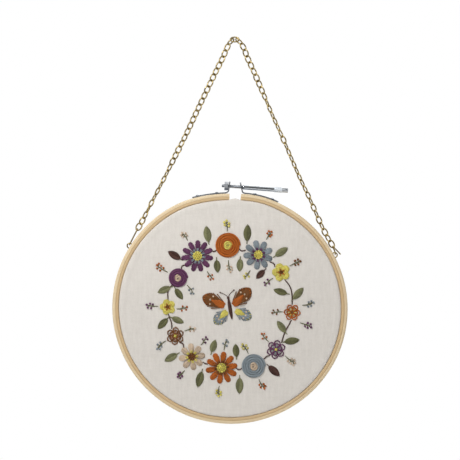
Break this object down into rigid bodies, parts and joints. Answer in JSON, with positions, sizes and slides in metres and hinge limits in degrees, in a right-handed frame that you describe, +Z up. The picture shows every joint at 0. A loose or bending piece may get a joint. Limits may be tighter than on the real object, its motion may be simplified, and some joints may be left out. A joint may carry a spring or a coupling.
{
  "type": "hoop embroidery art in its wooden hoop with a hanging chain",
  "caption": "Round of linen embroidered with a floral wreath and a butterfly, stretched in a split wooden hoop with a tension screw and hung by a brass chain.",
  "frame": {"origin": "where a nail bears, under the upper wire of the top link of the chain", "axes": "+Z up; +Y towards the wall behind the hoop, so the embroidery faces -Y; +X to the right"},
  "size_m": [0.1996, 0.0122, 0.3288],
  "materials": {
    "linen": "plain weave, matt",
    "beech": "bare two-ply wood, smooth",
    "zinc": "zinc-plated steel",
    "brass": "darkened brass",
    "thread_violet": "cotton thread, violet",
    "thread_rust": "cotton thread, rust orange",
    "thread_blue": "cotton thread, dusty blue",
    "thread_yellow": "cotton thread, yellow",
    "thread_brown": "cotton thread, chocolate brown",
    "thread_cream": "cotton thread, cream",
    "thread_sage": "cotton thread, sage green",
    "thread_olive": "cotton thread, olive green",
    "thread_dark": "cotton thread, dark brown"
  },
  "bodies": {
    "root": {"apex_link": "brass", "blossom_brown": "thread_brown", "blossom_rust": "thread_rust", "blossom_violet": "thread_violet", "bracket_left": "zinc", "bracket_right": "zinc", "buttercup_left": "thread_yellow", "buttercup_upper": "thread_yellow", "butterfly_body": "thread_dark", "chain_left": "brass", "chain_right": "brass", "connector_left": "brass", "connector_right": "brass", "daisy_blue": "thread_blue", "daisy_cream": "thread_cream", "daisy_rust": "thread_rust", "daisy_violet": "thread_violet", "eye_left": "brass", "eye_right": "brass", "inner_hoop": "beech", "leaf_01": "thread_sage", "leaf_02": "thread_olive", "leaf_03": "thread_olive", "leaf_04": "thread_sage", "leaf_05": "thread_sage", "leaf_06": "thread_dark", "leaf_07": "thread_dark", "leaf_08": "thread_sage", "leaf_09": "thread_olive", "leaf_10": "thread_olive", "leaf_11": "thread_sage", "leaf_12": "thread_sage", "leaf_13": "thread_olive", "leaf_14": "thread_sage", "leaf_15": "thread_sage", "leaf_16": "thread_olive", "leaf_17": "thread_dark", "leaf_18": "thread_olive", "leaf_19": "thread_sage", "leaf_20": "thread_sage", "leaf_21": "thread_olive", "linen_ground": "linen", "outer_hoop": "beech", "rivet_1": "zinc", "rivet_2": "zinc", "rivet_3": "zinc", "rivet_4": "zinc", "rose_blue": "thread_blue", "rose_rust": "thread_rust", "rose_violet": "thread_violet", "tension_nut": "zinc", "tension_screw": "zinc", "wing_lower_left": "thread_blue", "wing_lower_right": "thread_blue", "wing_upper_left": "thread_brown", "wing_upper_right": "thread_brown"}
  },
  "joints": []
}
